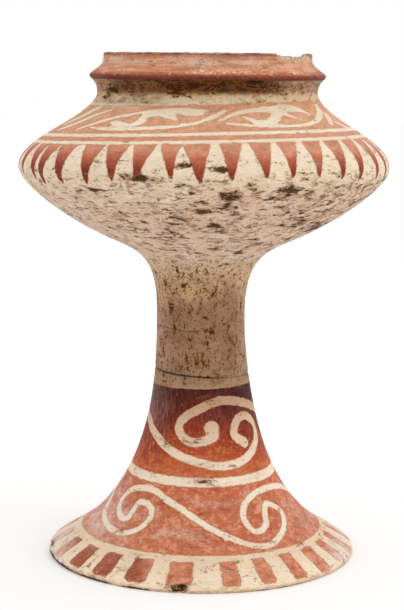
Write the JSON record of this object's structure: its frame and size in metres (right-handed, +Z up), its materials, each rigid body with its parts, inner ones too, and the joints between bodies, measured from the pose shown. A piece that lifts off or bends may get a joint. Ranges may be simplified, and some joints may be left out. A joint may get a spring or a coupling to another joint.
{
  "type": "footed vase",
  "caption": "Footed earthenware vase: a wide keeled bowl with a collared mouth, on a slender hollow stem that flares out to a broad round foot.",
  "frame": {"origin": "on the standing plane, straight under the middle of the belly, which is also the middle of the foot ring", "axes": "+Z up along the vase; -Y is the front that the picture shows; +X is to the right in it"},
  "size_m": [0.219, 0.219, 0.3],
  "materials": {
    "painted_earthenware": "matt unglazed clay with a cream slip, painted in iron red, worn and stained"
  },
  "bodies": {
    "root": {"vase": "painted_earthenware"}
  },
  "joints": []
}
